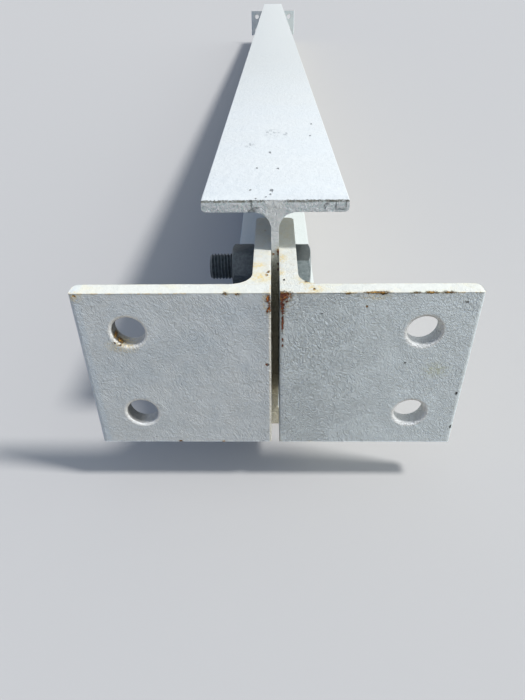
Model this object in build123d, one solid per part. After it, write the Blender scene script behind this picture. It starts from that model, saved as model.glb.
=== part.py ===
"""Hot-rolled steel I-beam with a bolted pair of angle cleats at each end.

The beam lies along Y and stands on its bottom flange. The origin is the centre of the
underside. Each end carries two pieces of rolled equal angle, heel to heel on the web. One
leg of each is bolted through the web. The other stands square across the end, beyond the
end of the beam, and has two open holes for the bolts of the next member.

All sizes are in millimetres. "Near" is the end at -Y, and "right" is the side at +X.
"""

import os
from math import radians, sqrt, tan

from build123d import *

# The whole piece, over the faces of the cleats
overall_length = 3500.0

# Rolled I-section of the beam
section_height = 200.0
flange_width = 100.0
web_thickness = 5.6
flange_thickness = 8.5
root_radius = 12.0
flange_tip_radius = 1.0
flange_inner_tip_radius = 3.0

# Rolled equal angle of the cleats, and how high each piece is cut
cleat_leg = 125.0
cleat_thickness = 12.0
cleat_root_radius = 14.0
cleat_toe_radius = 4.6
cleat_outer_toe_radius = 1.5
cleat_heel_radius = 1.2
cleat_height = 125.0
cleat_lift = 1.5  # the cleat's middle stands this far above the middle of the beam

# Bolt holes: each leg has two, one over the other
hole_diameter = 22.0
row_spacing = 68.0
web_hole_to_toe = 29.0
web_hole_to_beam_end = 34.0
end_hole_to_toe = 33.0

# Hex bolts and nuts through the web
bolt_diameter = 20.0
bolt_point_chamfer = 1.5
bolt_stick_out = 17.4  # what stands out past the nut
head_across_flats = 30.0
head_height = 12.5
nut_across_flats = 30.0
nut_height = 18.0
nut_bore_clearance = 0.1
hex_chamfer_angle = 30.0
hex_face_share = 0.95  # diameter of a hex's flat end face, as a share of its width across flats

# How far each head and nut is turned, in degrees: one corner's angle from straight up, towards -Y
head_turn = {"near_upper": 51.0, "near_lower": 24.0, "far_upper": 8.0, "far_lower": 37.0}
nut_turn = {"near_upper": 28.0, "near_lower": 46.0, "far_upper": 13.0, "far_lower": 55.0}

# Places that follow from the sizes above
web_face = web_thickness / 2
cleat_outer_face = web_face + cleat_thickness
cleat_projection = cleat_leg - web_hole_to_toe - web_hole_to_beam_end
beam_length = overall_length - 2 * cleat_projection
cleat_bottom = section_height / 2 + cleat_lift - cleat_height / 2
cleat_middle = cleat_bottom + cleat_height / 2
row_heights = {"upper": cleat_middle + row_spacing / 2, "lower": cleat_middle - row_spacing / 2}
web_hole_line = beam_length / 2 - web_hole_to_beam_end
end_hole_line = web_face + cleat_leg - end_hole_to_toe

ALONG_X = Rot(0, 90, 0)
ALONG_Y = Rot(90, 0, 0)


def hole(direction, centre, depth):
    """The cutter for one bolt hole, centred on a point of its axis."""
    return Pos(*centre) * direction * Cylinder(hole_diameter / 2, depth)


def i_beam():
    """The rolled beam: an I-profile with root and tip radii, run along Y, with its web drilled."""
    channel_width = flange_width / 2 - web_face
    channel_depth = section_height - 2 * flange_thickness
    channel = Rectangle(channel_width, channel_depth)
    profile = Rectangle(flange_width, section_height)
    for side in (-1, 1):
        profile -= Pos(side * (web_face + channel_width / 2), 0) * channel
    roots = profile.vertices().filter_by(lambda v: abs(v.X) < root_radius)
    profile = fillet(roots, root_radius)

    def tips(height):
        places = [(side * flange_width / 2, end * height, 0) for side in (-1, 1) for end in (-1, 1)]
        return [profile.vertices().sort_by_distance(place)[0] for place in places]

    profile = fillet(tips(section_height / 2), flange_tip_radius)
    profile = fillet(tips(section_height / 2 - flange_thickness), flange_inner_tip_radius)

    upright = Pos(0, 0, section_height / 2) * ALONG_Y
    beam = upright * extrude(profile, amount=beam_length / 2, both=True)
    for end in (-1, 1):
        for height in row_heights.values():
            beam -= hole(ALONG_X, (0, end * web_hole_line, height), 2 * web_thickness)
    return beam


def near_right_cleat():
    """Rolled angle with its heel at the web: one leg runs back along it, the other out to +X."""
    end_leg = Rectangle(cleat_leg, cleat_thickness, align=Align.MIN)
    web_leg = Rectangle(cleat_thickness, cleat_leg, align=Align.MIN)
    profile = end_leg + web_leg

    def corner(x, y):
        return profile.vertices().sort_by_distance((x, y, 0))[0]

    profile = fillet(corner(cleat_thickness, cleat_thickness), cleat_root_radius)
    toes = [corner(cleat_leg, cleat_thickness), corner(cleat_thickness, cleat_leg)]
    profile = fillet(toes, cleat_toe_radius)
    outer_toes = [corner(cleat_leg, 0), corner(0, cleat_leg)]
    profile = fillet(outer_toes, cleat_outer_toe_radius)
    profile = fillet(corner(0, 0), cleat_heel_radius)

    near_face = -overall_length / 2
    cleat = Pos(web_face, near_face, cleat_bottom) * extrude(profile, amount=cleat_height)
    web_leg_middle = web_face + cleat_thickness / 2
    end_leg_middle = near_face + cleat_thickness / 2
    for height in row_heights.values():
        cleat -= hole(ALONG_X, (web_leg_middle, -web_hole_line, height), 2 * cleat_thickness)
        cleat -= hole(ALONG_Y, (end_hole_line, end_leg_middle, height), 2 * cleat_thickness)
    return cleat


def hexagon(across_flats, height, chamfer_both_ends):
    """A hex blank from z = 0 up, with its corners turned off by a cone at the top or both ends."""
    corner_radius = across_flats / sqrt(3)
    face_radius = across_flats * hex_face_share / 2
    turned_radius = 2 * corner_radius - face_radius
    fall = (turned_radius - face_radius) * tan(radians(hex_chamfer_angle))
    foot = [(face_radius, 0), (turned_radius, fall)] if chamfer_both_ends else [(turned_radius, 0)]
    top = [(turned_radius, height - fall), (face_radius, height), (0, height)]
    half_section = make_face(Polyline((0, 0), *foot, *top, close=True))
    blank = extrude(RegularPolygon(corner_radius, 6), amount=height)
    return blank & revolve(Plane.XZ * half_section, Axis.Z)


def bolt(turn):
    """A hex bolt along Z: its head stands up from z = 0, and its shank hangs below."""
    grip = 2 * cleat_outer_face
    length = grip + nut_height + bolt_stick_out
    shank = Pos(0, 0, -length / 2) * Cylinder(bolt_diameter / 2, length)
    point = shank.edges().sort_by(Axis.Z)[0]
    head = Rot(0, 0, turn) * hexagon(head_across_flats, head_height, False)
    return head + chamfer(point, bolt_point_chamfer)


def nut(turn):
    """A hex nut along Z: its seat is at z = 0, and its body hangs below."""
    blank = Rot(0, 0, turn) * hexagon(nut_across_flats, nut_height, True)
    bore = Cylinder(bolt_diameter / 2 + nut_bore_clearance, 3 * nut_height)
    return Pos(0, 0, -nut_height) * (blank - bore)


def bolt_centres():
    """Each bolt's name, and the point where its axis crosses the middle of the web."""
    ends = {"near": -web_hole_line, "far": web_hole_line}
    return {
        f"{end}_{row}": (0, y, z)
        for end, y in ends.items()
        for row, z in row_heights.items()
    }


def pieces():
    """Every piece in its place, by name."""
    near_right = near_right_cleat()
    near_left = mirror(near_right, about=Plane.YZ)
    placed = {
        "i_beam": i_beam(),
        "cleat_near_right": near_right,
        "cleat_near_left": near_left,
        "cleat_far_right": mirror(near_right, about=Plane.XZ),
        "cleat_far_left": mirror(near_left, about=Plane.XZ),
    }
    for name, centre in bolt_centres().items():
        head_seat = Pos(*centre) * Pos(cleat_outer_face, 0, 0) * ALONG_X
        nut_seat = Pos(*centre) * Pos(-cleat_outer_face, 0, 0) * ALONG_X
        placed[f"bolt_{name}"] = head_seat * bolt(head_turn[name])
        placed[f"nut_{name}"] = nut_seat * nut(nut_turn[name])
    return placed


os.makedirs("parts", exist_ok=True)
for node, shape in pieces().items():
    export_step(shape, f"parts/{node}.step")
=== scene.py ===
"""The looks of a steel I-beam, painted white, with a bolted pair of angle cleats at each end.

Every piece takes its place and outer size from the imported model, in metres.
"""

from math import pi, radians, sqrt, tan

import bmesh
import bpy
from mathutils import Matrix, Vector


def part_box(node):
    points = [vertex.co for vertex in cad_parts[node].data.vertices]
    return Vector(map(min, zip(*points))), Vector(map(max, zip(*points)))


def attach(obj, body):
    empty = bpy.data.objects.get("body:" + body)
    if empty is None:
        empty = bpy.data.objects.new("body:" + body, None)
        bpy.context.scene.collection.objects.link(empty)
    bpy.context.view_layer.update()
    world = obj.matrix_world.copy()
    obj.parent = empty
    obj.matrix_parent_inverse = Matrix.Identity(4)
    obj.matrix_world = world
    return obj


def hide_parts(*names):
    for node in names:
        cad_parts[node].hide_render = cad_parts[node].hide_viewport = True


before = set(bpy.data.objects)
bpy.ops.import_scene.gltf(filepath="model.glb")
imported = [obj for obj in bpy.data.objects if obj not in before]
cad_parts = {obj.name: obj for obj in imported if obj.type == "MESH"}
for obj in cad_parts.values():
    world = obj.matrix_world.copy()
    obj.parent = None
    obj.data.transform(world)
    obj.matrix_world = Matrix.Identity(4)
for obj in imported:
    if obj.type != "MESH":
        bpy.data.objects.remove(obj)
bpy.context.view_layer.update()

# The camera
# It stands just beyond the near end and looks down along the beam. Its place and its angles were
# worked out from the edges of the flange and the cleats in the photograph.
mm = 0.001
beam_low, beam_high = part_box("i_beam")
off_middle = -1.36 * mm
beyond_the_end = 349.8 * mm
above_the_flange = 121.2 * mm
pan = radians(1.41)
tilt = radians(55.28)
roll = radians(-0.925)
camera = bpy.data.objects.new("camera", bpy.data.cameras.new("camera"))
camera.data.sensor_width = 36
camera.data.lens = 27.54
bpy.context.collection.objects.link(camera)
camera.matrix_world = (
    Matrix.Translation((off_middle, beam_low.y - beyond_the_end, beam_high.z + above_the_flange))
    @ Matrix.Rotation(pan, 4, "Z")
    @ Matrix.Rotation(tilt, 4, "X")
    @ Matrix.Rotation(roll, 4, "Z")
)
bpy.context.scene.camera = camera

# The beam
# One piece of hot-rolled steel: two flanges and a web, with round roots where they meet. It was
# cut to length with rough ends, drilled for the cleats' bolts and painted white all over.
flange_thickness = 8.5 * mm
web_thickness = 5.6 * mm
root_radius = 12 * mm
outer_tip_radius = 1 * mm
inner_tip_radius = 3 * mm
bolt_hole_radius = 11 * mm
beam_arris = 0.6 * mm
touch = 0.1 * mm  # two places this close count as one
snap = 0.15 * mm  # a cut this close to a vertex runs through it
bolt_names = ["near_upper", "near_lower", "far_upper", "far_lower"]
nut_boxes = {name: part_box(f"nut_{name}") for name in bolt_names}
bolt_middles = {name: (low + high) / 2 for name, (low, high) in nut_boxes.items()}


def middle(part):
    """The middle of an edge or a face."""
    return sum((v.co for v in part.verts), Vector()) / len(part.verts)


def runs_along(edge, axis):
    """True for an edge that is parallel to axis 0, 1 or 2."""
    step = edge.verts[0].co - edge.verts[1].co
    return abs(step[axis]) > 0.999 * step.length


def pick(kind, wanted):
    """In edit mode, selects the vertices, edges or faces for which wanted is true, and no others."""
    bpy.ops.mesh.select_mode(type=kind)
    bpy.ops.mesh.select_all(action="DESELECT")
    shape = bmesh.from_edit_mesh(bpy.context.object.data)
    for part in {"VERT": shape.verts, "EDGE": shape.edges, "FACE": shape.faces}[kind]:
        if wanted(part):
            part.select_set(True)
    bmesh.update_edit_mesh(bpy.context.object.data)


def slice_across(axis, places):
    """In edit mode, cuts what is selected by planes across an axis, and leaves the rest whole."""
    normal = Vector([float(axis == k) for k in range(3)])
    bpy.ops.mesh.hide(unselected=True)
    for place in places:
        bpy.ops.mesh.select_all(action="SELECT")
        bpy.ops.mesh.bisect(plane_co=normal * place, plane_no=normal, threshold=snap)
    bpy.ops.mesh.select_all(action="SELECT")
    bpy.ops.mesh.reveal(select=False)


# The profile starts as the web's end. Its two ends are drawn out sideways to make the flanges.
bpy.ops.object.select_all(action="DESELECT")
bpy.ops.mesh.primitive_plane_add(size=1, rotation=(pi / 2, 0, 0))
beam = bpy.context.object
beam.name = "painted_beam"
beam.location = (0, beam_low.y, beam_high.z / 2)
beam.scale = (web_thickness, beam_high.z, 1)
bpy.ops.object.transform_apply(location=True, rotation=True, scale=True)
bpy.ops.object.mode_set(mode="EDIT")
bpy.ops.mesh.select_all(action="SELECT")
slice_across(2, [flange_thickness, beam_high.z - flange_thickness])
for side in (-1, 1):
    pick(
        "EDGE",
        lambda e: runs_along(e, 2)
        and side * middle(e).x > 0
        and abs(middle(e).z - beam_high.z / 2) > beam_high.z / 2 - flange_thickness,
    )
    reach = side * (beam_high.x - web_thickness / 2)
    bpy.ops.mesh.extrude_region_move(TRANSFORM_OT_translate={"value": (reach, 0, 0)})

# The profile is drawn out to the beam's length, and its roots and flange tips are rounded.
bpy.ops.mesh.select_all(action="SELECT")
length = beam_high.y - beam_low.y
bpy.ops.mesh.extrude_region_move(TRANSFORM_OT_translate={"value": (0, length, 0)})
bpy.ops.mesh.select_all(action="SELECT")
bpy.ops.mesh.normals_make_consistent(inside=False)
bpy.ops.mesh.dissolve_limited(angle_limit=radians(1))
pick("EDGE", lambda e: runs_along(e, 1) and abs(middle(e).x) < web_thickness)
bpy.ops.mesh.bevel(offset=root_radius, segments=12, affect="EDGES")
for down, radius in ((0, outer_tip_radius), (flange_thickness, inner_tip_radius)):
    height = beam_high.z / 2 - down
    pick(
        "EDGE",
        lambda e: runs_along(e, 1)
        and abs(middle(e).x) > beam_high.x - touch
        and abs(abs(middle(e).z - beam_high.z / 2) - height) < touch,
    )
    bpy.ops.mesh.bevel(offset=radius, segments=5, affect="EDGES")
bpy.ops.object.mode_set(mode="OBJECT")


def drill(radius, centre, depth, along):
    """A cutter for a round hole, along axis X or Y."""
    turn = {"X": (0, pi / 2, 0), "Y": (pi / 2, 0, 0)}[along]
    bpy.ops.object.select_all(action="DESELECT")
    bpy.ops.mesh.primitive_cylinder_add(
        vertices=72, radius=radius, depth=depth, location=centre, rotation=turn
    )
    return bpy.context.object


def cut_with(piece, cutter, operation="DIFFERENCE"):
    """Cuts, trims or joins a piece with another, which is then thrown away."""
    bpy.ops.object.select_all(action="DESELECT")
    bpy.context.view_layer.objects.active = piece
    bpy.ops.object.modifier_add(type="BOOLEAN")
    boolean = piece.modifiers[-1]
    boolean.operation = operation
    boolean.solver = "EXACT"
    boolean.object = cutter
    bpy.ops.object.modifier_apply(modifier=boolean.name)
    bpy.data.objects.remove(cutter, do_unlink=True)


def soften(piece, width, segments, sharper_than=30, slot=-1):
    """Rounds every arris that is sharper than an angle, and can give it a material slot."""
    bpy.context.view_layer.objects.active = piece
    bpy.ops.object.modifier_add(type="BEVEL")
    bevel = piece.modifiers[-1]
    bevel.width = width
    bevel.segments = segments
    bevel.limit_method = "ANGLE"
    bevel.angle_limit = radians(sharper_than)
    bevel.material = slot
    bpy.ops.object.modifier_apply(modifier=bevel.name)


for centre in bolt_middles.values():
    hole = drill(bolt_hole_radius, (0, centre.y, centre.z), 4 * web_thickness, "X")
    cut_with(beam, hole)
soften(beam, beam_arris, 2)

# Both ends are sliced finely, so that the cut faces can be uneven and their arrises chipped.
rough_reach = 9 * mm
chip_reach = 2 * mm
cell = 1.25 * mm


def steps(low, high, size):
    """Evenly spaced places between two ends, about one size apart, without the ends."""
    count = max(1, round((high - low) / size))
    return [low + (high - low) * k / count for k in range(1, count)]


bpy.ops.object.mode_set(mode="EDIT")
bpy.ops.mesh.select_mode(type="FACE")
bpy.ops.mesh.select_all(action="SELECT")
rings = [cell * k for k in range(1, 8)] + [14 * mm, 30 * mm]  # how far in from each end
slice_across(1, [beam_low.y + ring for ring in rings] + [beam_high.y - ring for ring in rings])
for axis in (0, 2):
    pick("FACE", lambda f: abs(middle(f).y) > beam_high.y - rough_reach)
    slice_across(axis, steps(beam_low[axis], beam_high[axis], cell))
bpy.ops.object.mode_set(mode="OBJECT")


def roughen(piece, name, grain, depth, how_much):
    """Sinks a surface unevenly, by up to a depth. how_much gives each vertex's share of it."""
    group = piece.vertex_groups.new(name=name)
    for v in piece.data.vertices:
        group.add([v.index], how_much(v.co), "REPLACE")
    texture = bpy.data.textures.new(name, "CLOUDS")
    texture.noise_scale = grain
    texture.noise_depth = 3
    bpy.context.view_layer.objects.active = piece
    bpy.ops.object.modifier_add(type="DISPLACE")
    displace = piece.modifiers[-1]
    displace.texture = texture
    displace.texture_coords = "LOCAL"
    displace.mid_level = 0
    displace.strength = -depth
    displace.vertex_group = name
    bpy.ops.object.modifier_apply(modifier=displace.name)
    piece.vertex_groups.clear()


def on_the_cut(place):
    """1 on an end face of the beam, then less and less up to rough_reach from it."""
    inward = beam_high.y - abs(place.y)
    return 1.0 if inward < touch else max(0.0, 0.5 * (1 - inward / rough_reach))


def at_the_top_arris(place):
    """1 at the upper arris of an end face, and 0 from chip_reach away."""
    down = abs(beam_high.z - place.z) / chip_reach
    inward = (beam_high.y - abs(place.y)) / chip_reach
    return max(0.0, 1 - down) * max(0.0, 1 - inward)


roughen(beam, "cut_grain", 2.6 * mm, 0.6 * mm, on_the_cut)
roughen(beam, "arris_chips", 1.7 * mm, 1.4 * mm, at_the_top_arris)


def shade(piece, sharper_than=35):
    """Shades a piece smooth, but leaves its sharp arrises crisp."""
    bpy.ops.object.select_all(action="DESELECT")
    piece.select_set(True)
    bpy.context.view_layer.objects.active = piece
    bpy.ops.object.shade_smooth_by_angle(angle=radians(sharper_than))


shade(beam)


def put(tree, kind, place, inputs, **settings):
    """Adds a shader node. Each input is a value, or the socket that feeds it."""
    node = tree.nodes.new("ShaderNode" + kind)
    node.location = (220 * place[0], -200 * place[1])
    for setting, value in settings.items():
        setattr(node, setting, value)
    for socket, value in inputs.items():
        if isinstance(value, bpy.types.NodeSocket):
            tree.links.new(value, node.inputs[socket])
        else:
            node.inputs[socket].default_value = value
    return node.outputs


def reckon(tree, operation, place, *terms):
    """Adds a Math node and gives its answer."""
    return put(tree, "Math", place, dict(enumerate(terms)), operation=operation)[0]


def noise(tree, place, vector, scale, detail=2.0, roughness=0.5, distortion=0.0):
    """Adds a Noise Texture and gives its value, which is mostly between 0.3 and 0.7."""
    inputs = {"Vector": vector, "Scale": scale, "Detail": detail}
    inputs |= {"Roughness": roughness, "Distortion": distortion}
    return put(tree, "TexNoise", place, inputs)["Fac"]


def spread(tree, place, value, low, high, to_low=0.0, to_high=1.0):
    """Stretches a value's range between low and high to a new range, with soft ends."""
    inputs = {"Value": value, "From Min": low, "From Max": high, "To Min": to_low, "To Max": to_high}
    return put(tree, "MapRange", place, inputs, interpolation_type="SMOOTHSTEP")["Result"]


def mix(tree, place, share, first, second):
    """Mixes two colours, from the first at share 0 to the second at share 1."""
    return put(tree, "Mix", place, {0: share, 6: first, 7: second}, data_type="RGBA")[2]


def coat(tree, row, mask, strength, under, colour):
    """Lays a colour over another where a mask shows, up to a strength. Each coat has its own row."""
    share = reckon(tree, "MULTIPLY", (9, row), mask, strength)
    return mix(tree, (10, row), share, under, colour)


def new_group(name, takes, gives):
    """Starts a node group. Its sockets are given by name, as Float, Vector or Color."""
    tree = bpy.data.node_groups.new(name, "ShaderNodeTree")
    for socket, kind in takes.items():
        tree.interface.new_socket(name=socket, in_out="INPUT", socket_type="NodeSocket" + kind)
    for socket, kind in gives.items():
        tree.interface.new_socket(name=socket, in_out="OUTPUT", socket_type="NodeSocket" + kind)
    taken = tree.nodes.new("NodeGroupInput")
    given = tree.nodes.new("NodeGroupOutput")
    taken.location.x = -400
    given.location.x = 1600
    return tree, taken.outputs, given.inputs


# Brushed paint: fine wrinkles that lean with the brush, steeply in some patches and flatter in the
# rest, over softer lumps. Its tone and warmth drift slowly over the surface.
brushed_paint, taken, given = new_group(
    "brushed_paint",
    {"Place": "Vector", "Wrinkles": "Float", "Lumps": "Float"},
    {"Height": "Float", "Tone": "Float", "Warmth": "Float"},
)


def brushed(row, lean, stretch, scale):
    """Wrinkles drawn out along a line that leans from upright by an angle in degrees."""
    turn = {"Vector": taken["Place"], "Axis": (0, 1, 0), "Angle": radians(lean)}
    turned = put(brushed_paint, "VectorRotate", (0, row), turn)[0]
    drawn = {0: turned, 1: (1, 1, stretch)}
    drawn = put(brushed_paint, "VectorMath", (1, row), drawn, operation="MULTIPLY")[0]
    return noise(brushed_paint, (2, row), drawn, scale, 2, 0.5, 1.2)


patch = noise(brushed_paint, (2, 2), taken["Place"], 24, 2, 0.5, 0.3)
patch = spread(brushed_paint, (3, 2), patch, 0.42, 0.58)
steep = reckon(brushed_paint, "MULTIPLY", (3, 0), brushed(0, 24, 0.5, 780), patch)
rest = reckon(brushed_paint, "SUBTRACT", (4, 2), 1.0, patch)
loose = reckon(brushed_paint, "MULTIPLY", (3, 1), brushed(1, 70, 0.6, 880), rest)
wrinkles = reckon(brushed_paint, "ADD", (4, 0), steep, loose)
lumps = noise(brushed_paint, (2, 3), taken["Place"], 190, 2, 0.5, 0.4)
lumps = reckon(brushed_paint, "MULTIPLY", (3, 3), lumps, taken["Lumps"])
height = reckon(brushed_paint, "MULTIPLY_ADD", (5, 0), wrinkles, taken["Wrinkles"], lumps)
brushed_paint.links.new(height, given["Height"])
tone = noise(brushed_paint, (1, 2), taken["Place"], 55, 5, 0.62, 0.3)
brushed_paint.links.new(spread(brushed_paint, (2, 2), tone, 0.3, 0.7), given["Tone"])
warmth = noise(brushed_paint, (1, 3), taken["Place"], 14, 3, 0.55, 0.2)
brushed_paint.links.new(spread(brushed_paint, (2, 3), warmth, 0.35, 0.65), given["Warmth"])

# A chip in the paint, rusted through: a ragged core, and a faint stain round it.
rusted_chip, taken, given = new_group(
    "rusted_chip",
    {"Place": "Vector", "Centre": "Vector", "Reach": "Vector"},
    {"Core": "Float", "Stain": "Float"},
)
away = put(
    rusted_chip, "VectorMath", (0, 0), {0: taken["Place"], 1: taken["Centre"]}, operation="SUBTRACT"
)[0]
away = put(rusted_chip, "VectorMath", (1, 0), {0: away, 1: taken["Reach"]}, operation="DIVIDE")[0]
away = put(rusted_chip, "VectorMath", (2, 0), {0: away}, operation="LENGTH")["Value"]
ragged = noise(rusted_chip, (0, 1), taken["Place"], 800, 4, 0.7, 0.6)
ragged = reckon(rusted_chip, "MULTIPLY_ADD", (1, 1), ragged, 3.2, -1.6)
away = reckon(rusted_chip, "ADD", (3, 0), away, ragged)
rusted_chip.links.new(spread(rusted_chip, (4, 0), away, 1.1, 0.5), given["Core"])
speckle = noise(rusted_chip, (0, 2), taken["Place"], 480, 4, 0.7, 0.4)
speckle = spread(rusted_chip, (1, 2), speckle, 0.38, 0.62)
faded = spread(rusted_chip, (4, 1), away, 2.6, 0.4)
faded = reckon(rusted_chip, "MULTIPLY", (5, 1), faded, speckle)
rusted_chip.links.new(faded, given["Stain"])

# The colour of rust: red and dark, with fresh orange patches, close to the web, and a yellower
# brown elsewhere.
rust_colour, taken, given = new_group("rust_colour", {"Place": "Vector"}, {"Color": "Color"})
dark_brown = (0.07, 0.035, 0.01, 1)
mid_brown = (0.42, 0.2, 0.04, 1)
yellow_brown = (0.75, 0.42, 0.1, 1)
dark_red = (0.07, 0.012, 0.004, 1)
mid_red = (0.36, 0.07, 0.012, 1)
orange = (0.78, 0.3, 0.045, 1)
mottle = noise(rust_colour, (0, 0), taken["Place"], 750, 3, 0.7)
mottle = spread(rust_colour, (1, 0), mottle, 0.36, 0.6)
fresh = noise(rust_colour, (0, 1), taken["Place"], 260, 3, 0.6)
fresh = spread(rust_colour, (1, 1), fresh, 0.47, 0.6)
brown = mix(rust_colour, (2, 0), mottle, dark_brown, mid_brown)
brown = mix(rust_colour, (3, 0), fresh, brown, yellow_brown)
red = mix(rust_colour, (2, 1), mottle, dark_red, mid_red)
freshest = reckon(rust_colour, "POWER", (2, 4), fresh, 3)
red = mix(rust_colour, (3, 1), freshest, red, orange)
x, y, z = put(rust_colour, "SeparateXYZ", (0, 2), {0: taken["Place"]}).values()
from_web = reckon(rust_colour, "ABSOLUTE", (1, 2), x)
by_web = spread(rust_colour, (2, 2), from_web, 14 * mm, 9 * mm)
not_on_top = spread(rust_colour, (2, 3), z, 163.9 * mm, 163.2 * mm)
by_web = reckon(rust_colour, "MULTIPLY", (3, 2), by_web, not_on_top)
rust_colour.links.new(mix(rust_colour, (4, 0), by_web, brown, red), given["Color"])

# Colours that the beam and the cleats share
white_paint = (0.79, 0.835, 0.86, 1)
dulled_paint = (0.64, 0.71, 0.76, 1)
warm_paint = (0.80, 0.81, 0.78, 1)
# A white brighter than the paint, used for painted light and painted highlights.
painted_light_white = (1, 1, 0.97, 1)
rust_stain = (0.86, 0.66, 0.27, 1)


def chips(tree, place, spots, first_row):
    """The cores and stains of a list of chips, each given as its centre and its reach in mm."""
    core = 0.0
    halo = 0.0
    for row, (centre, reach) in enumerate(spots, first_row):
        spot = {"Place": place, "Centre": Vector(centre) * mm, "Reach": Vector(reach) * mm}
        chip = put(tree, "Group", (0, row), spot, node_tree=rusted_chip)
        core = reckon(tree, "MAXIMUM", (1, row), chip["Core"], core)
        halo = reckon(tree, "MAXIMUM", (2, row), chip["Stain"], halo)
    return core, halo


def start_material(name):
    """Starts a material, and gives it, its node tree and a point's place on the object."""
    material = bpy.data.materials.new(name)
    material.use_nodes = True
    tree = material.node_tree
    return material, tree, put(tree, "TexCoord", (-3, 0), {})["Object"]


def finish_material(tree, colour, roughness, height, relief):
    """Feeds the material's shader. The relief says how high a bump of 1 stands."""
    bump = put(tree, "Bump", (11, 2), {"Height": height, "Distance": relief})["Normal"]
    shader = tree.nodes["Principled BSDF"]
    shader.location = (2700, 0)
    tree.nodes["Material Output"].location = (3000, 0)
    tree.links.new(colour, shader.inputs["Base Color"])
    tree.links.new(roughness, shader.inputs["Roughness"])
    tree.links.new(bump, shader.inputs["Normal"])
    return shader


# The beam's own paint is clean along its length, and thin, grey and stained on the cut ends. Each
# mark is given by its centre and by how far it reaches from there, in mm.
paint_relief = 1.1 * mm
beam_chips = [
    ((2.2, -1688, 153.5), (0.5, 2, 1.3)),
    ((2.3, -1688, 149.2), (0.5, 2, 1.2)),
    ((2.3, -1688, 163), (1.2, 2, 2.6)),
    ((-1.2, -1688, 161), (0.8, 2, 0.8)),
]
bare_spots = [
    ((-2.3, -1667.5, 200), (1.3, 2.8, 1)),
    ((-17.3, -1666.5, 200), (0.8, 1.6, 1)),
    ((-13, -1684, 200), (0.7, 1.2, 1)),
    ((-6.3, -1681, 200), (0.7, 1.2, 1)),
    ((-3.2, -1676, 200), (0.8, 1.6, 1)),
    ((-13.8, -1613.6, 200), (0.8, 2, 1)),
    ((-3.9, -1568.6, 200), (0.9, 3, 1)),
    ((2.5, -1615.4, 200), (0.9, 2, 1)),
    ((33.4, -1510.2, 200), (0.8, 2.4, 1)),
    ((37.2, -1462, 200), (1, 3, 1)),
]
grooves = [
    ((-15.9, -1688, 197.2), (0.8, 2, 2.8)),
    ((-15.8, -1688, 192.6), (2.4, 2, 1.5)),
    ((-12.9, -1688, 194.6), (2, 2, 0.7)),
    ((40.8, -1688, 196.3), (0.5, 2, 3.2)),
    ((44.5, -1688, 193.4), (3.4, 2, 0.5)),
    ((47.6, -1688, 197), (0.5, 2, 2.6)),
    ((33.2, -1688, 195.3), (0.6, 2, 1.4)),
    ((34.6, -1688, 197.2), (1.2, 2, 0.7)),
    ((37, -1688, 198.9), (1.8, 2, 0.6)),
]
scuffs = [
    ((-2.4, -1499, 200), (8, 16, 1)),
    ((10.8, -1502.7, 200), (4, 8, 1)),
    ((-22.2, -1541.6, 200), (5, 11, 1)),
]
cut_grey = (0.76, 0.86, 0.84, 1)
cut_white = (1, 1, 1, 1)
# The next two darks are painted shade under the cut ends' upper arris and a painted shadow line along it.
shade_under_arris_grey = (0.28, 0.29, 0.26, 1)
arris_shadow_dark = (0.2, 0.19, 0.14, 1)
# The top paint is painted sunlight: the top face's colour shifted warmer.
sunlit_top_paint = (0.8, 0.82, 0.8, 1)
far_paint = (0.63, 0.65, 0.63, 1)
scuff_grey = (0.4, 0.43, 0.44, 1)
dust = (0.66, 0.7, 0.67, 1)
# A real yellowish stain colour, painted lighter to stand in for light reaching the web's end.
lit_stain_cream = (0.97, 0.91, 0.68, 1)
bare_steel = (0.18, 0.2, 0.22, 1)
groove_dirt = (0.22, 0.25, 0.25, 1)

beam_paint, tree, place = start_material("beam_paint")
settings = {"Place": place, "Wrinkles": 0.45, "Lumps": 0.6}
skin = put(tree, "Group", (0, 0), settings, node_tree=brushed_paint)
x, y, z = put(tree, "SeparateXYZ", (-2, 1), {0: place}).values()

# Masks of the cut ends, with a ragged limit, and of the stain on the web's end, which is also painted
# lighter as light
inward = reckon(tree, "SUBTRACT", (-1, 1), beam_high.y, reckon(tree, "ABSOLUTE", (-2, 2), y))
grain = noise(tree, (0, 2), place, 560, 4, 0.68, 0.5)
ragged = reckon(tree, "MULTIPLY_ADD", (0, 1), grain, 4 * mm, -1 * mm)
inward = reckon(tree, "SUBTRACT", (0, 5), inward, ragged)
cut = spread(tree, (1, 1), inward, 0.6 * mm, 0.2 * mm)
beside_web = spread(tree, (0, 3), reckon(tree, "ABSOLUTE", (-1, 3), x), 8 * mm, 3.5 * mm)
down_web = spread(tree, (0, 4), z, 176 * mm, 140 * mm)
lit_web_stain = reckon(tree, "MULTIPLY", (1, 4), beside_web, down_web)
lit_web_stain = reckon(tree, "MULTIPLY", (2, 4), lit_web_stain, cut)

# Masks of single marks. The scuffs are short strokes, drawn out along the beam.
core, halo = chips(tree, place, beam_chips, 6)
bare = chips(tree, place, bare_spots, 20)[0]
groove = chips(tree, place, grooves, 35)[0]
scuffed = chips(tree, place, scuffs, 50)[0]
drawn = put(tree, "VectorMath", (3, 9), {0: place, 1: (1, 0.35, 1)}, operation="MULTIPLY")[0]
speckle = noise(tree, (4, 9), drawn, 320, 3, 0.7, 0.5)
speckle = spread(tree, (5, 9), speckle, 0.5, 0.6)
scuffed = reckon(tree, "MULTIPLY", (6, 9), scuffed, speckle)
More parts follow.
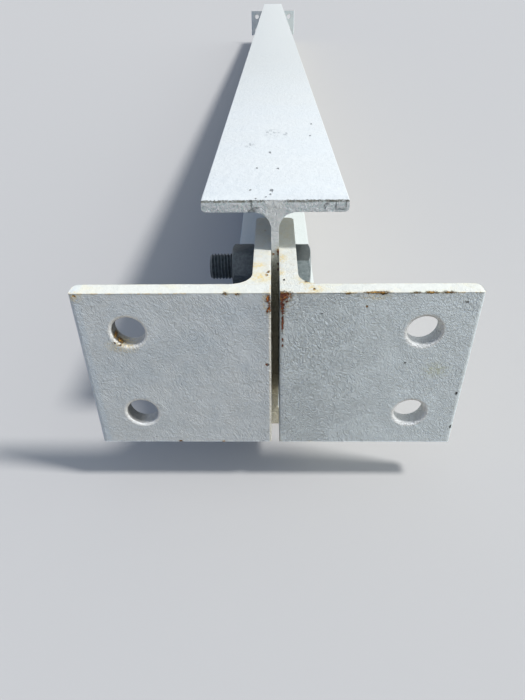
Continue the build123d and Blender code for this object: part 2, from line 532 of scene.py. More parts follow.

# The thin paint of the cut ends: grey and white, darkened under the upper arris as painted shade, with a
# broken painted shadow line along it, and brightened on the web as painted light.
white_grain = spread(tree, (3, 2), grain, 0.4, 0.55)
grey = mix(tree, (10, 0), white_grain, cut_grey, cut_white)
shade_under_arris = spread(tree, (3, 4), z, beam_high.z - 2.6 * mm, beam_high.z - 0.8 * mm)
shade_under_arris_grain = spread(tree, (3, 5), grain, 0.42, 0.56)
shade_under_arris = reckon(tree, "MULTIPLY", (4, 4), shade_under_arris, shade_under_arris_grain)
grey = coat(tree, 1, shade_under_arris, 0.75, grey, shade_under_arris_grey)
broken = spread(tree, (5, 7), noise(tree, (4, 7), place, 300, 4, 0.75, 0.8), 0.4, 0.55)
on_arris = spread(tree, (5, 8), z, beam_high.z - 2 * mm, beam_high.z - 1.2 * mm)
arris_shadow_line = reckon(tree, "MULTIPLY", (6, 7), broken, on_arris)
grey = coat(tree, 2, arris_shadow_line, 0.8, grey, arris_shadow_dark)
# Painted light: the cut paint beside the web is brightened, standing in for light thrown back from the
# cleats' tops.
grey = coat(tree, 3, beside_web, 0.7, grey, painted_light_white)

# The paint in its coats: white, duller and warmer on top as painted sunlight, duller away from the near
# end, dusty at the foot, then the cut ends, the marks and the rust.
tint = coat(tree, 4, skin["Tone"], 0.45, white_paint, dulled_paint)
tint = coat(tree, 5, skin["Warmth"], 0.5, tint, warm_paint)
# Painted sunlight: the top face is tinted warmer.
top_face = spread(tree, (7, 6), z, beam_high.z - 1 * mm, beam_high.z - 0.2 * mm)
tint = coat(tree, 6, top_face, 0.6, tint, sunlit_top_paint)
far_off = spread(tree, (7, 7), y, -1680 * mm, -900 * mm)
tint = coat(tree, 7, far_off, 0.8, tint, far_paint)
tint = coat(tree, 8, scuffed, 0.9, tint, scuff_grey)
dusty = spread(tree, (7, 9), z, 30 * mm, 12 * mm)
tint = coat(tree, 9, dusty, 0.8, tint, dust)
tint = mix(tree, (10, 10), cut, tint, grey)
# The web's end gets a real yellowish stain, painted lighter than it is to stand in for light reaching down
# between the cleats.
tint = coat(tree, 11, lit_web_stain, 0.85, tint, lit_stain_cream)
tint = coat(tree, 12, bare, 0.85, tint, bare_steel)
tint = coat(tree, 13, groove, 0.6, tint, groove_dirt)
tint = coat(tree, 14, halo, 0.7, tint, rust_stain)
rust = put(tree, "Group", (9, 15), {"Place": place}, node_tree=rust_colour)["Color"]
tint = mix(tree, (10, 15), core, tint, rust)

# The cut ends and the rust are dull. The marks are sunk into the paint.
rough = reckon(tree, "MAXIMUM", (7, 3), cut, core)
roughness = reckon(tree, "MULTIPLY_ADD", (8, 3), rough, 0.3, 0.4)
grain = reckon(tree, "MULTIPLY", (7, 4), grain, cut)
height = reckon(tree, "MULTIPLY_ADD", (8, 4), grain, 2.2, skin["Height"])
sunken = reckon(tree, "MAXIMUM", (6, 5), core, bare)
sunken = reckon(tree, "MAXIMUM", (7, 5), sunken, groove)
height = reckon(tree, "MULTIPLY_ADD", (8, 5), sunken, -2.5, height)
shader = finish_material(tree, tint, roughness, height, paint_relief)
shader.inputs["Specular IOR Level"].default_value = 0.35
beam.data.materials.clear()
beam.data.materials.append(beam_paint)
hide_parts("i_beam")
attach(beam, "root")

# The cleats
# Four short pieces of rolled equal angle, sawn to length, drilled and painted. They stand heel to
# heel on the web at each end, with their outer legs square across the end of the beam.
cleat_low, cleat_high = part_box("cleat_near_right")
cleat_thickness = 12 * mm
cleat_root_radius = 14 * mm
toe_radius = 4.6 * mm
outer_toe_radius = 1.5 * mm
heel_radius = 1.2 * mm
cleat_arris = 0.6 * mm
end_hole_to_toe = 33 * mm
leg_face = cleat_low.y + cleat_thickness
inner_face = cleat_low.x + cleat_thickness

# The outer leg is a block, and the leg along the web is drawn out of it.
bpy.ops.object.select_all(action="DESELECT")
bpy.ops.mesh.primitive_cube_add(size=1)
cleat = bpy.context.object
leg_high = Vector((cleat_high.x, leg_face, cleat_high.z))
cleat.location = (cleat_low + leg_high) / 2
cleat.scale = leg_high - cleat_low
bpy.ops.object.transform_apply(location=True, rotation=True, scale=True)
bpy.ops.object.mode_set(mode="EDIT")
slice_across(0, [inner_face])
pick("FACE", lambda f: f.normal.y > 0.9 and middle(f).x < inner_face)
reach = cleat_high.y - leg_face
bpy.ops.mesh.extrude_region_move(TRANSFORM_OT_translate={"value": (0, reach, 0)})
bpy.ops.mesh.select_all(action="SELECT")
bpy.ops.mesh.dissolve_limited(angle_limit=radians(1))


def round_upright(x, y, radius, segments):
    """In edit mode, rounds the upright edge that stands at a place."""
    pick(
        "EDGE",
        lambda e: runs_along(e, 2) and abs(middle(e).x - x) + abs(middle(e).y - y) < touch,
    )
    bpy.ops.mesh.bevel(offset=radius, segments=segments, affect="EDGES")


round_upright(inner_face, leg_face, cleat_root_radius, 10)
round_upright(cleat_high.x, leg_face, toe_radius, 6)
round_upright(inner_face, cleat_high.y, toe_radius, 6)
round_upright(cleat_high.x, cleat_low.y, outer_toe_radius, 5)
round_upright(cleat_low.x, cleat_high.y, outer_toe_radius, 5)
round_upright(cleat_low.x, cleat_low.y, heel_radius, 4)
bpy.ops.object.mode_set(mode="OBJECT")

# The paint stands a little proud in the open holes, and rolls softly over their rims.
painted_hole_radius = bolt_hole_radius - 0.4 * mm
painted_rim = 2.2 * mm
end_holes = [
    Vector((cleat_high.x - end_hole_to_toe, 0, bolt_middles[name].z)) for name in bolt_names[:2]
]


def from_end_hole(place):
    """How far a place is from the axis of the nearest open hole of the near right cleat."""
    return min((Vector((place.x, 0, place.z)) - hole).length for hole in end_holes)


def lies_on_rim(edge):
    """True for an edge on the rim of an open hole."""
    if runs_along(edge, 1) or max(v.co.y for v in edge.verts) > leg_face + touch:
        return False
    return max(abs(from_end_hole(v.co) - painted_hole_radius) for v in edge.verts) < touch / 2


for name, hole in zip(bolt_names[:2], end_holes):
    centre = bolt_middles[name]
    web_hole = (cleat_low.x + cleat_thickness / 2, centre.y, centre.z)
    end_hole = (hole.x, cleat_low.y + cleat_thickness / 2, hole.z)
    cut_with(cleat, drill(bolt_hole_radius, web_hole, 2 * cleat_thickness, "X"))
    cut_with(cleat, drill(painted_hole_radius, end_hole, 2 * cleat_thickness, "Y"))
bpy.ops.object.mode_set(mode="EDIT")
pick("EDGE", lies_on_rim)
bpy.ops.mesh.bevel(offset=painted_rim, segments=6, affect="EDGES")
bpy.ops.object.mode_set(mode="OBJECT")
soften(cleat, cleat_arris, 3)

# The cleat is sliced all over, so that its outer leg can be uneven.
cleat_cell = 2.5 * mm
bpy.ops.object.mode_set(mode="EDIT")
bpy.ops.mesh.select_mode(type="FACE")
for axis in (0, 1, 2):
    bpy.ops.mesh.select_all(action="SELECT")
    slice_across(axis, steps(cleat_low[axis], cleat_high[axis], cleat_cell))
bpy.ops.object.mode_set(mode="OBJECT")

# How far a point is from the nearest arris of a block, which is the second least of its distances
# from the block's sides.
arris_distance, taken, given = new_group(
    "arris_distance", {"Place": "Vector", "Low": "Vector", "High": "Vector"}, {"Distance": "Float"}
)
plain = put(arris_distance, "VectorMath", (0, 0), {0: taken["Place"]}, operation="ABSOLUTE")[0]
above = put(arris_distance, "VectorMath", (1, 0), {0: plain, 1: taken["Low"]}, operation="SUBTRACT")[0]
below = put(arris_distance, "VectorMath", (1, 1), {0: taken["High"], 1: plain}, operation="SUBTRACT")[0]
nearest = put(arris_distance, "VectorMath", (2, 0), {0: above, 1: below}, operation="MINIMUM")[0]
a, b, c = put(arris_distance, "SeparateXYZ", (3, 0), {0: nearest}).values()
least = reckon(arris_distance, "MINIMUM", (4, 0), a, b)
most = reckon(arris_distance, "MAXIMUM", (4, 1), a, b)
second = reckon(arris_distance, "MINIMUM", (5, 1), most, c)
second = reckon(arris_distance, "MAXIMUM", (6, 0), least, second)
arris_distance.links.new(second, given["Distance"])

# The cleats' paint is wrinkled by the brush, and chipped to rust along the sawn arrises. The marks
# are given as the beam's are.
cleat_chips = [
    ((5, -1750, 161.5), (4.6, 3, 4.5)),
    ((4.2, -1750, 155.5), (2, 3, 6.5)),
    ((6.6, -1750, 163.2), (4, 2, 1.4)),
    ((4.4, -1750, 152.5), (1.2, 2, 5)),
    ((4.5, -1750, 143), (0.9, 2, 8)),
    ((4.7, -1750, 129.6), (0.7, 2, 1.2)),
    ((4.7, -1750, 124.9), (0.7, 2, 1.2)),
    ((-4.6, -1750, 159.6), (1.6, 2, 3.4)),
    ((-3.8, -1750, 153.5), (1.4, 2, 4)),
    ((-5, -1750, 151), (1, 2, 1.6)),
    ((-30.8, -1750, 163.4), (1.4, 2, 1)),
    ((-23.5, -1750, 163), (1.6, 2, 0.8)),
    ((-124.2, -1750, 162.3), (1, 2, 0.9)),
    ((-5.8, -1750, 109.6), (0.9, 2, 1)),
    ((-70.1, -1750, 39.6), (1.3, 2, 0.8)),
    ((-38.1, -1750, 39.2), (1.2, 2, 0.8)),
    ((62, -1749.6, 163.8), (7.5, 1.6, 0.9)),
    ((65.5, -1749.6, 163.5), (2.6, 2, 1.5)),
    ((44, -1750, 163.2), (2.4, 2, 0.7)),
    ((86, -1750, 163.5), (3, 2, 0.5)),
    ((95, -1750, 163.6), (4, 2, 0.8)),
    ((105, -1750, 163.6), (4, 2, 0.8)),
    ((56.5, -1750, 154.2), (0.9, 2, 0.8)),
    ((-101.4, -1746.5, 128), (3, 2.6, 3)),
    ((-104.4, -1745, 131), (1, 4, 3.4)),
    ((-101.6, -1750, 125.6), (1.1, 2, 0.6)),
    ((-104.6, -1750, 127.4), (0.8, 2, 0.8)),
    ((-4.5, -1721.5, 164), (1.1, 1.8, 1)),
    ((-5.7, -1725.9, 164), (0.8, 1.4, 1)),
    ((27, -1727, 164), (1, 1, 1)),
    ((24.1, -1745, 164), (0.9, 1.6, 1)),
    ((19.5, -1735, 164), (1.1, 1.2, 1)),
]
cleat_pits = [
    ((29, -1750, 149), (1.3, 2, 0.4)),
    ((117.4, -1750, 157), (1.4, 2, 0.6)),
    ((85.7, -1750, 111), (0.8, 2, 0.7)),
    ((-4.6, -1750, 109.6), (0.7, 2, 1)),
    ((124.5, -1750, 84.9), (0.8, 2, 1.5)),
    ((126, -1750, 54), (0.8, 2, 1.5)),
    ((5.5, -1732.6, 164), (0.7, 1.4, 1)),
]
cleat_stains = [
    ((106.8, -1750, 105.2), (4.6, 2, 3.6)),
    ((-124, -1750, 161.6), (2.6, 2, 2.2)),
    ((3.3, -1722, 164), (1.6, 4, 1)),
    ((4.6, -1700.7, 164), (2, 4, 1)),
    ((-11, -1729.4, 164), (2.4, 2, 1)),
    ((19.3, -1734.6, 164), (3, 3, 1)),
    ((24.1, -1744.6, 164), (3.5, 3, 1)),
    ((-9, -1729, 164), (4.5, 3.6, 1)),
    ((-12, -1712, 164), (3.6, 3, 1)),
    ((62, -1750, 161.4), (5, 2, 1.6)),
    ((6, -1750, 160), (3, 2, 4)),
    ((-5, -1750, 158), (2, 2, 5)),
    ((-100.5, -1748, 124.6), (6, 5, 3)),
]
# The next two colours are painted light: the right cleats' paler paint and the sawn tops' warmer paint.
right_lit_paint = (0.9, 0.98, 1, 1)
sunlit_sawn_paint = (0.85, 0.84, 0.75, 1)
old_cream = (0.92, 0.84, 0.56, 1)
tan_line = (0.8, 0.6, 0.3, 1)
# Painted sky light for the left toe, and a painted highlight for the left heel.
toe_sky_light = (0.64, 0.75, 0.86, 1)
heel_highlight = (1, 0.97, 0.86, 1)
# Dirt and painted shade for the hole walls.
hole_dirt_and_shade = (0.11, 0.105, 0.1, 1)
green_stain = (0.68, 0.7, 0.44, 1)
pit_black = (0.035, 0.035, 0.035, 1)

cleat_paint, tree, place = start_material("cleat_paint")
x, y, z = put(tree, "SeparateXYZ", (-2, 1), {0: place}).values()

# The wrinkles are strongest beside the web on the right cleat. They fade towards its toe, on the
# sawn top and along the toes.
on_top = spread(tree, (-1, 6), z, cleat_high.z - 0.9 * mm, cleat_high.z - 0.2 * mm)
wrinkled = spread(tree, (-1, 0), x, -15 * mm, 10 * mm, 1.0, 3.0)
fewer = spread(tree, (-1, 5), x, 25 * mm, 80 * mm, 1.1, 0.6)
wrinkled = reckon(tree, "MULTIPLY", (0, 3), wrinkled, fewer)
off_top = reckon(tree, "MULTIPLY_ADD", (-1, 2), on_top, -0.75, 1.0)
wrinkled = reckon(tree, "MULTIPLY", (-1, 1), wrinkled, off_top)
off_toe = spread(tree, (-1, 4), reckon(tree, "ABSOLUTE", (-2, 4), x), 127 * mm, 125 * mm, 0.2, 1)
wrinkled = reckon(tree, "MULTIPLY", (-1, 3), wrinkled, off_toe)
settings = {"Place": place, "Wrinkles": wrinkled, "Lumps": 0.65}
skin = put(tree, "Group", (0, 0), settings, node_tree=brushed_paint)

# Masks of the rust: single chips, and wear in patches along the arrises
outer_leg = {
    "Place": place,
    "Low": (cleat_low.x, -leg_face, cleat_low.z),
    "High": (cleat_high.x, -cleat_low.y, cleat_high.z),
}
from_arris = put(tree, "Group", (0, 1), outer_leg, node_tree=arris_distance)["Distance"]
near_arris = spread(tree, (1, 3), from_arris, 2.2 * mm, 0.4 * mm)
patchy = spread(tree, (1, 2), noise(tree, (0, 2), place, 75, 3, 0.7, 0.3), 0.7, 0.76)
worn = reckon(tree, "MULTIPLY", (2, 3), near_arris, patchy)
core, halo = chips(tree, place, cleat_chips, 6)
yellow = chips(tree, place, cleat_stains, 40)[1]
pits = chips(tree, place, cleat_pits, 60)[0]
core = reckon(tree, "MAXIMUM", (3, 3), core, worn)
halo = reckon(tree, "MULTIPLY", (3, 5), halo, 0.6)
halo = reckon(tree, "MAXIMUM", (3, 4), halo, yellow)

# Masks round the open holes: a painted highlight on their rims, and dirt with painted shade on their walls,
# deeper on the left cleats
across = reckon(tree, "ABSOLUTE", (3, 9), x)
across = reckon(tree, "SUBTRACT", (4, 9), across, end_holes[0].x)
upward = reckon(tree, "SUBTRACT", (3, 10), z, (end_holes[0].z + end_holes[1].z) / 2)
upward = reckon(tree, "ABSOLUTE", (4, 10), upward)
upward = reckon(tree, "SUBTRACT", (5, 10), upward, (end_holes[0].z - end_holes[1].z) / 2)
from_hole = put(tree, "CombineXYZ", (5, 9), {0: across, 1: upward})[0]
from_hole = put(tree, "VectorMath", (6, 9), {0: from_hole}, operation="LENGTH")["Value"]
in_hole = spread(tree, (7, 9), from_hole, bolt_hole_radius + 0.2 * mm, bolt_hole_radius - 0.3 * mm)
rim_highlight = spread(tree, (7, 10), from_hole, bolt_hole_radius + 2.6 * mm, bolt_hole_radius + 1.2 * mm)
dirt_and_shade = spread(tree, (7, 11), x, 0, -60 * mm, 0.2, 0.8)
dirt_and_shade = reckon(tree, "MULTIPLY", (8, 11), dirt_and_shade, spread(tree, (7, 12), across, -3 * mm, 6 * mm, 0.5, 1))

# The paint in its coats: paler and cooler on the right cleats as painted light, warmer and brighter on the
# sawn tops as painted sunlight, and creamy on the sawn tops and along the arrises.
dulled = spread(tree, (7, 0), x, -10 * mm, 10 * mm, 0.7, 0.1)
tint = coat(tree, 0, skin["Tone"], dulled, white_paint, dulled_paint)
warmed = spread(tree, (7, 1), x, -10 * mm, 10 * mm, 0.25, 0.1)
tint = coat(tree, 1, skin["Warmth"], warmed, tint, warm_paint)
# Painted light: the right cleats are made paler and cooler than the left.
on_right = spread(tree, (7, 2), x, -8 * mm, 8 * mm)
tint = coat(tree, 2, on_right, 0.85, tint, right_lit_paint)
# Painted sunlight: the sawn tops are made warmer and brighter.
tint = coat(tree, 3, on_top, 0.9, tint, sunlit_sawn_paint)
creamy = spread(tree, (7, 4), noise(tree, (6, 4), place, 60, 5, 0.7, 0.5), 0.52, 0.68)
creamy = reckon(tree, "MULTIPLY", (8, 4), creamy, reckon(tree, "MAXIMUM", (7, 5), on_top, near_arris))
tint = coat(tree, 4, creamy, 0.35, tint, old_cream)

# A thin tan line breaks up along the upper arris, a bluish band of painted sky light runs down the left
# toe, and a cream painted highlight down the left heel.
lined = spread(tree, (5, 14), noise(tree, (4, 14), place, 170, 4, 0.7, 0.6), 0.46, 0.6)
lined = reckon(tree, "MULTIPLY", (6, 14), lined, spread(tree, (5, 15), from_arris, 1.3 * mm, 0.5 * mm))
lined = reckon(tree, "MULTIPLY", (7, 14), lined, spread(tree, (6, 15), z, 161 * mm, 163 * mm))
outward = reckon(tree, "ABSOLUTE", (5, 16), y)
outward = spread(tree, (6, 16), outward, 1738 * mm, 1741 * mm, 0.2, 1)
lined = reckon(tree, "MULTIPLY", (8, 14), lined, outward)
tint = coat(tree, 5, lined, 0.6, tint, tan_line)
# Painted sky light down the left toe.
toe_sky_band = spread(tree, (8, 6), x, -120.5 * mm, -123 * mm)
tint = coat(tree, 6, toe_sky_band, 0.35, tint, toe_sky_light)
# A painted highlight down the left heel.
left_heel_highlight = spread(tree, (3, 11), x, -4.8 * mm, -3.6 * mm)
left_heel_highlight = reckon(tree, "MULTIPLY", (4, 11), left_heel_highlight, spread(tree, (3, 12), x, -1 * mm, -2 * mm))
left_heel_highlight = reckon(tree, "MULTIPLY", (5, 11), left_heel_highlight, spread(tree, (4, 12), z, 158 * mm, 148 * mm))
tint = mix(tree, (10, 7), left_heel_highlight, tint, heel_highlight)

# The holes, the stains, the rust and the pits come last.
# A painted highlight on the hole rims, then dirt and painted shade on the hole walls.
tint = coat(tree, 8, rim_highlight, 0.9, tint, painted_light_white)
tint = coat(tree, 9, in_hole, dirt_and_shade, tint, hole_dirt_and_shade)
on_toe = spread(tree, (7, 13), x, 70 * mm, 90 * mm)
stained = mix(tree, (8, 13), on_toe, rust_stain, green_stain)
strength = reckon(tree, "MULTIPLY_ADD", (8, 12), on_top, 0.3, 0.6)
tint = coat(tree, 10, halo, strength, tint, stained)
rust = put(tree, "Group", (9, 11), {"Place": place}, node_tree=rust_colour)["Color"]
tint = mix(tree, (10, 11), core, tint, rust)
tint = mix(tree, (10, 12), pits, tint, pit_black)
roughness = reckon(tree, "MULTIPLY_ADD", (6, 3), core, 0.3, 0.42)
sunken = reckon(tree, "MAXIMUM", (5, 5), core, pits)
height = reckon(tree, "MULTIPLY_ADD", (6, 5), sunken, -2.5, skin["Height"])
finish_material(tree, tint, roughness, height, paint_relief)
cleat.data.materials.clear()
cleat.data.materials.append(cleat_paint)


def on_outer_leg(place):
    """1 on the leg across the beam's end, 0 on the leg along the web and round the open holes."""
    if abs(place.y) < beam_high.y + 40 * mm or abs(place.x) < 3.2 * mm:
        return 0.0
    span = from_end_hole(Vector((abs(place.x), 0, place.z)))
    return min(1.0, max(0.0, span / (6 * mm) - 2.5))


def copy_of(piece, name):
    """Copies a finished piece, with a mesh of its own."""
    bpy.ops.object.select_all(action="DESELECT")
    piece.select_set(True)
    bpy.context.view_layer.objects.active = piece
    bpy.ops.object.duplicate(linked=False)
    placed = bpy.context.object
    placed.name = name
    return placed


# The other cleats are mirrored from this one. That can turn a mesh inside out, so the faces of each
# are set to point outwards.
for end in ("near", "far"):
    for side in ("left", "right"):
        placed = copy_of(cleat, f"painted_cleat_{end}_{side}")
        placed.scale = (1 if side == "right" else -1, 1 if end == "near" else -1, 1)
        bpy.ops.object.transform_apply(location=True, rotation=True, scale=True)
        bpy.ops.object.mode_set(mode="EDIT")
        bpy.ops.mesh.select_all(action="SELECT")
        bpy.ops.mesh.normals_make_consistent(inside=False)
        bpy.ops.object.mode_set(mode="OBJECT")
        roughen(placed, "hand_finish", 11 * mm, 0.3 * mm, on_outer_leg)
        shade(placed)
        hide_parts(f"cleat_{end}_{side}")
        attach(placed, "root")
bpy.data.objects.remove(cleat, do_unlink=True)

# The bolts
# M20 hex bolts of dull blue-grey steel, forged, with a rolled thread. Each one goes through cleat,
# web and cleat, with its head seated on the right and its thread standing out of a nut.
across_flats = 30 * mm
face_share = 0.95
chamfer_angle = radians(30)
bolt_radius = 10 * mm
bolt_arris = 0.5 * mm
thread_pitch = 2.5 * mm
thread_depth = 1.5 * mm
point_chamfer = 1.5 * mm
point_cone = 29.5 * mm  # long enough to clear the whole thread
head_seat = inner_face
bolt_low, bolt_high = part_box("bolt_near_upper")
head_top = bolt_high.x
bolt_tip = bolt_low.x
head_turns = {"near_upper": 51, "near_lower": 24, "far_upper": 8, "far_lower": 37}


def hex_blank(name, seat, face, turned_ends):
    """A hexagon along X, from its seat to its face, with its corners turned off by a cone."""
    bpy.ops.object.select_all(action="DESELECT")
    bpy.ops.mesh.primitive_cylinder_add(
        vertices=6,
        radius=across_flats / sqrt(3),
        depth=abs(face - seat),
        location=((seat + face) / 2, 0, 0),
        rotation=(0, pi / 2, 0),
    )
    blank = bpy.context.object
    blank.name = name
    bpy.ops.object.transform_apply(location=True, rotation=True, scale=True)
    flat = across_flats * face_share / 2
    for start, stop in turned_ends:
        bpy.ops.object.select_all(action="DESELECT")
        bpy.ops.mesh.primitive_cone_add(
            vertices=96,
            radius1=flat + abs(stop - start) / tan(chamfer_angle),
            radius2=flat,
            depth=abs(stop - start),
            location=((start + stop) / 2, 0, 0),
            rotation=(0, pi / 2 if stop > start else -pi / 2, 0),
        )
        cut_with(blank, bpy.context.object, "INTERSECT")
    return blank


# The steel is mottled grey. The heads are paler as painted sunlight, and the threads and nuts darker as
# painted shade; the heads' upward faces carry painted shade, and the arrises a painted shade line.
shaded_dark_steel = (0.085, 0.105, 0.123, 1)
shaded_grey_steel = (0.14, 0.168, 0.19, 1)
sunlit_grey_steel = (0.29, 0.34, 0.34, 1)
sunlit_pale_steel = (0.48, 0.52, 0.52, 1)
handled = (0.24, 0.26, 0.27, 1)
# A dark for painted shade on the heads' upward faces.
upward_shade_dark = (0.07, 0.08, 0.08, 1)
# A dark for the painted shade line along the arrises.
arris_shade_dark = (0.03, 0.035, 0.04, 1)
steels = []
# The second material, on the softened arrises, is darkened as a painted shade line.
for name, darkness in (("bolt_steel", 0), ("bolt_arris", 0.65)):
    steel, tree, place = start_material(name)
    steels.append(steel)
    grain = noise(tree, (0, 0), place, 420, 4, 0.65, 0.4)
    mottle = spread(tree, (1, 0), grain, 0.36, 0.66)
    x = put(tree, "SeparateXYZ", (0, 1), {0: place})[0]
    # Painted light: the heads are paler as if sunlit, the threads and nuts darker as if shaded.
    sunlit_head = spread(tree, (1, 1), x, head_seat - 3 * mm, head_seat)
    drift = spread(tree, (1, 2), noise(tree, (0, 2), place, 90, 3, 0.6, 0.2), 0.4, 0.7)
    shaded_steel = mix(tree, (2, 0), mottle, shaded_dark_steel, shaded_grey_steel)
    sunlit_steel = mix(tree, (2, 1), mottle, sunlit_grey_steel, sunlit_pale_steel)
    sunlit_steel = coat(tree, 1, drift, 0.5, sunlit_steel, handled)
    # Painted shade: faces of the heads that look upwards are darkened, as under the flange.
    facing = put(tree, "SeparateXYZ", (1, 4), {0: put(tree, "TexCoord", (0, 4), {})["Normal"]})[2]
    upward_shade = spread(tree, (2, 4), facing, 0.35, 0.8)
    sunlit_steel = coat(tree, 2, upward_shade, 0.8, sunlit_steel, upward_shade_dark)
    tint = mix(tree, (10, 3), sunlit_head, shaded_steel, sunlit_steel)
    tint = mix(tree, (10, 4), darkness, tint, arris_shade_dark)
    roughness = reckon(tree, "MULTIPLY_ADD", (3, 2), grain, 0.3, 0.38)
    shader = finish_material(tree, tint, roughness, grain, 0.08 * mm)
    shader.inputs["Metallic"].default_value = 0.45

bolt = hex_blank("bolt", head_seat, head_top, [(head_seat, head_top)])
for steel in steels:
    bolt.data.materials.append(steel)
soften(bolt, bolt_arris, 2, 20, 1)

# The shank is smooth up to the nut.
nut_low, nut_high = nut_boxes["near_upper"]
shank_end = (nut_low.x + nut_high.x) / 2
cut_with(bolt, drill(bolt_radius, ((shank_end + head_seat) / 2, 0, 0), head_seat - shank_end, "X"), "UNION")

# The thread is a V-shaped rib, wound round the X axis, closed at both ends and pointed at the tip.
bpy.ops.object.select_all(action="DESELECT")
bpy.ops.mesh.primitive_plane_add(size=1)
thread = bpy.context.object
bpy.ops.object.mode_set(mode="EDIT")
pick("VERT", lambda v: v.co.y < 0)
bpy.ops.mesh.delete(type="VERT")
pick("EDGE", lambda e: True)
bpy.ops.mesh.subdivide(number_cuts=4)

# The rib's section: how far along the pitch, and how far down as a share of the thread's depth.
rib = [(0, -1.0), (0.38, -0.12), (0.44, 0), (0.56, 0), (0.62, -0.12), (1, -1.0)]
shape = bmesh.from_edit_mesh(thread.data)
for v, (along, down) in zip(sorted(shape.verts, key=lambda v: v.co.x), rib):
    v.co = (bolt_tip - thread_pitch + along * thread_pitch, 0, bolt_radius + down * thread_depth)
bmesh.update_edit_mesh(thread.data)
bpy.ops.object.mode_set(mode="OBJECT")

# It is wound from before the tip to past the shank's end, and then cut off at both.
turns = round((shank_end - bolt_tip) / thread_pitch) + 3
bpy.ops.object.modifier_add(type="SCREW")
screw = thread.modifiers[-1]
screw.axis = "X"
screw.angle = 2 * pi
screw.screw_offset = thread_pitch
screw.iterations = turns
screw.steps = 48
screw.render_steps = 48
screw.use_merge_vertices = True
screw.merge_threshold = 0.01 * mm
bpy.ops.object.modifier_apply(modifier=screw.name)
bpy.ops.object.mode_set(mode="EDIT")
bpy.ops.mesh.select_all(action="SELECT")
bpy.ops.mesh.remove_doubles(threshold=0.01 * mm)
for stop, outer in ((bolt_tip, False), (shank_end + touch, True)):
    bpy.ops.mesh.select_all(action="SELECT")
    bpy.ops.mesh.bisect(
        plane_co=(stop, 0, 0),
        plane_no=(1, 0, 0),
        use_fill=True,
        clear_inner=not outer,
        clear_outer=outer,
    )
bpy.ops.mesh.select_all(action="SELECT")
bpy.ops.mesh.normals_make_consistent(inside=False)
bpy.ops.object.mode_set(mode="OBJECT")
bpy.ops.object.select_all(action="DESELECT")
bpy.ops.mesh.primitive_cone_add(
    vertices=96,
    radius1=bolt_radius - point_chamfer + point_cone,
    radius2=bolt_radius - point_chamfer,
    depth=point_cone,
    location=(bolt_tip + point_cone / 2, 0, 0),
    rotation=(0, -pi / 2, 0),
)
cut_with(thread, bpy.context.object, "INTERSECT")
cut_with(bolt, thread, "UNION")

# Joining them leaves doubled vertices where the thread starts.
bpy.ops.object.mode_set(mode="EDIT")
bpy.ops.mesh.select_all(action="SELECT")
bpy.ops.mesh.remove_doubles(threshold=0.003 * mm)
bpy.ops.object.mode_set(mode="OBJECT")


def set_in_place(piece, name, centre, turn):
    """Copies a piece that lies on the X axis, turns it round that axis and puts it in its hole."""
    placed = copy_of(piece, name)
    placed.rotation_euler.x = radians(turn)
    placed.location = (0, centre.y, centre.z)
    bpy.ops.object.transform_apply(location=True, rotation=True, scale=True)
    shade(placed, 32)
    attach(placed, "root")
    return placed


# A blank's nearest corner stands 30 degrees from straight up, before it is turned.
for name, centre in bolt_middles.items():
    placed = set_in_place(bolt, f"steel_bolt_{name}", centre, head_turns[name] - 30)
    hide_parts(f"bolt_{name}")
bpy.data.objects.remove(bolt, do_unlink=True)

# The nuts
# Thick M20 hex nuts of the same steel, turned down at both ends, tapped and countersunk. Each one
# is drawn up tight on the left cleat, a little short of the thread's end.
nut_arris = 0.4 * mm
thread_play = 0.1 * mm
countersink = 0.8 * mm  # how much wider than the bolt it is at the face
cone_half = 1.8 * mm
nut_turns = {"near_upper": 28, "near_lower": 46, "far_upper": 13, "far_lower": 55}
nut = hex_blank("nut", nut_low.x, nut_high.x, [(nut_low.x, nut_high.x), (nut_high.x, nut_low.x)])
nut_middle = ((nut_low.x + nut_high.x) / 2, 0, 0)
cut_with(nut, drill(bolt_radius + thread_play, nut_middle, 4 * bolt_radius, "X"))
for face, turn in ((nut_low.x, -pi / 2), (nut_high.x, pi / 2)):
    bpy.ops.object.select_all(action="DESELECT")
    bpy.ops.mesh.primitive_cone_add(
        vertices=72,
        radius1=bolt_radius + countersink - cone_half,
        radius2=bolt_radius + countersink + cone_half,
        depth=2 * cone_half,
        location=(face, 0, 0),
        rotation=(0, turn, 0),
    )
    cut_with(nut, bpy.context.object)
for steel in steels:
    nut.data.materials.append(steel)
soften(nut, nut_arris, 2, 20, 1)
for name, centre in bolt_middles.items():
    placed = set_in_place(nut, f"steel_nut_{name}", centre, nut_turns[name] - 30)
    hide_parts(f"nut_{name}")
bpy.data.objects.remove(nut, do_unlink=True)

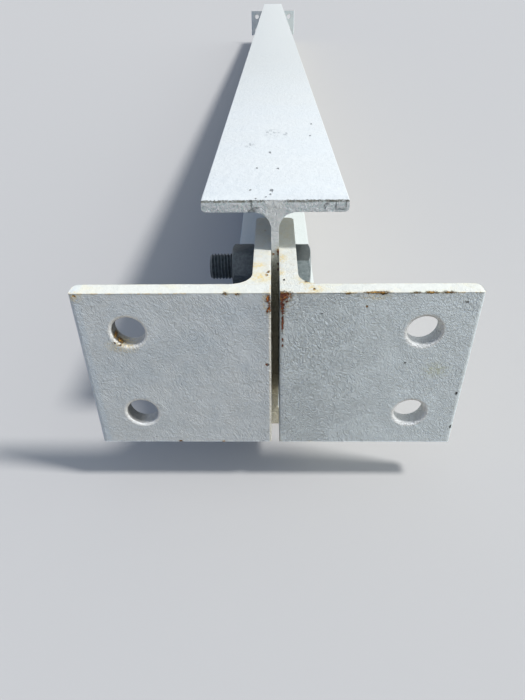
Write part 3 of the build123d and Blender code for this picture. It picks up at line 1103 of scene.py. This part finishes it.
# The studio
# A pale floor, a pale room all round it, and one lamp like a hazy sun, high on the right. Floor and
# room throw back less light than they show to the camera, so that the upright faces stay in shade.
floor_shown = (0.55, 0.535, 0.52, 1)
floor_thrown = (0.3, 0.255, 0.19, 1)
room_shown = (0.8, 0.8, 0.79, 1)
sky_left = (0.07, 0.15, 0.33, 1)
sky_front = (0.54, 0.59, 0.64, 1)
sky_right = (0.66, 0.73, 0.78, 1)


def by_ray(tree, thrown, shown):
    """Gives one colour to the light on the object, and another to the camera's own rays."""
    rays = put(tree, "LightPath", (0, 0), {})
    seen = reckon(tree, "MAXIMUM", (1, 0), rays["Is Camera Ray"], rays["Is Glossy Ray"])
    seen = reckon(tree, "MAXIMUM", (2, 0), seen, rays["Is Transmission Ray"])
    return mix(tree, (4, 0), seen, thrown, shown)


bpy.ops.object.select_all(action="DESELECT")
bpy.ops.mesh.primitive_plane_add(size=90)
floor = bpy.context.object
floor.name = "floor"
floor_paint, tree, place = start_material("floor_paint")
shader = tree.nodes["Principled BSDF"]
tree.links.new(by_ray(tree, floor_thrown, floor_shown), shader.inputs["Base Color"])
shader.inputs["Roughness"].default_value = 0.9
shader.inputs["Specular IOR Level"].default_value = 0.1
floor.data.materials.append(floor_paint)

room = bpy.data.worlds.new("room")
room.use_nodes = True
bpy.context.scene.world = room
tree = room.node_tree
side = put(tree, "SeparateXYZ", (1, 2), {0: put(tree, "TexCoord", (0, 2), {})["Generated"]})[0]
light = mix(tree, (3, 2), spread(tree, (2, 2), side, -0.65, 0.1), sky_left, sky_front)
light = mix(tree, (3, 3), spread(tree, (2, 3), side, 0.15, 0.9), light, sky_right)
tree.links.new(by_ray(tree, light, room_shown), tree.nodes["Background"].inputs["Color"])

lamp = bpy.data.objects.new("lamp", bpy.data.lights.new("lamp", "SUN"))
lamp.data.energy = 2.7
lamp.data.angle = radians(8)
lamp.rotation_euler = (radians(6), radians(35), 0)
bpy.context.collection.objects.link(lamp)
bpy.context.scene.view_settings.view_transform = "Standard"

bpy.context.view_layer.update()
